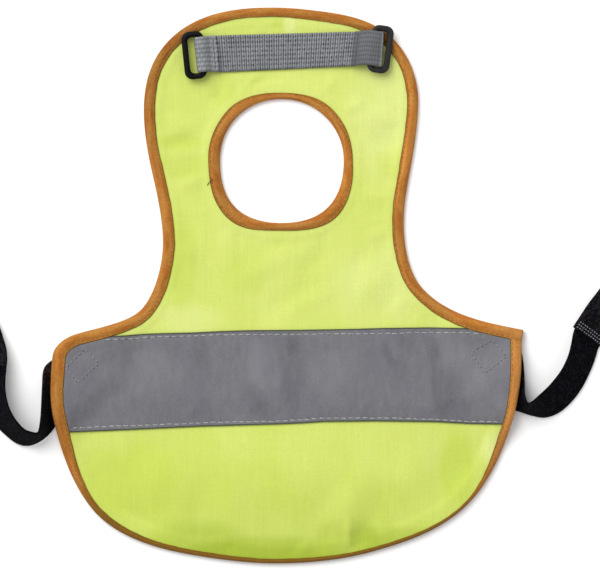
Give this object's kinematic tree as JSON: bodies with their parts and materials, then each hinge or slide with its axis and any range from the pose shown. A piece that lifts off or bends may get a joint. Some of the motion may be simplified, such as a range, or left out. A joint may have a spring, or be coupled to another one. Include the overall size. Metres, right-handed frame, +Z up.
{
  "type": "chicken safety vest",
  "caption": "Soft bib-and-body vest for a hen, laid flat, with a neck hole, a reflective band, webbing with plastic rings and elastic straps with hook-and-loop tabs.",
  "frame": {"origin": "on the vest's flat underside, below the middle of the body panel's outline", "axes": "+Z up through the cloth, +Y from the body towards the bib, +X to the right as the vest is seen from above"},
  "size_m": [0.3975, 0.2999, 0.02],
  "materials": {
    "body_panel": "fine yellow-green woven cloth, matt with a faint sheen",
    "edge_binding": "orange bias binding, matt",
    "neck_binding": "orange bias binding, matt",
    "reflective_tape": "grey reflective tape, satin",
    "chest_webbing": "grey ribbed webbing, matt",
    "ring_left": "moulded black plastic",
    "ring_right": "moulded black plastic",
    "strap_left": "black woven elastic, matt",
    "strap_right": "black woven elastic, matt",
    "tab_left": "black hook-and-loop tape, matt",
    "tab_right": "black hook-and-loop tape, matt"
  },
  "bodies": {
    "vest": {"body_panel": "body_panel", "edge_binding": "edge_binding", "neck_binding": "neck_binding", "reflective_tape": "reflective_tape", "chest_webbing": "chest_webbing", "strap_left": "strap_left", "strap_right": "strap_right", "tab_left": "tab_left", "tab_right": "tab_right"},
    "ring_left": {"ring_left": "ring_left"},
    "ring_right": {"ring_right": "ring_right"}
  },
  "joints": [
    {"name": "ring_left_turn", "type": "hinge", "parent": "vest", "child": "ring_left", "pos_m": [-0.0453, 0.1246, 0.0059], "axis": [-0.1045, 0.9945, 0], "range_deg": [0, 150]},
    {"name": "ring_right_turn", "type": "hinge", "parent": "vest", "child": "ring_right", "pos_m": [0.0463, 0.128, 0.0072], "axis": [-0.1392, -0.9903, 0], "range_deg": [0, 140]}
  ]
}
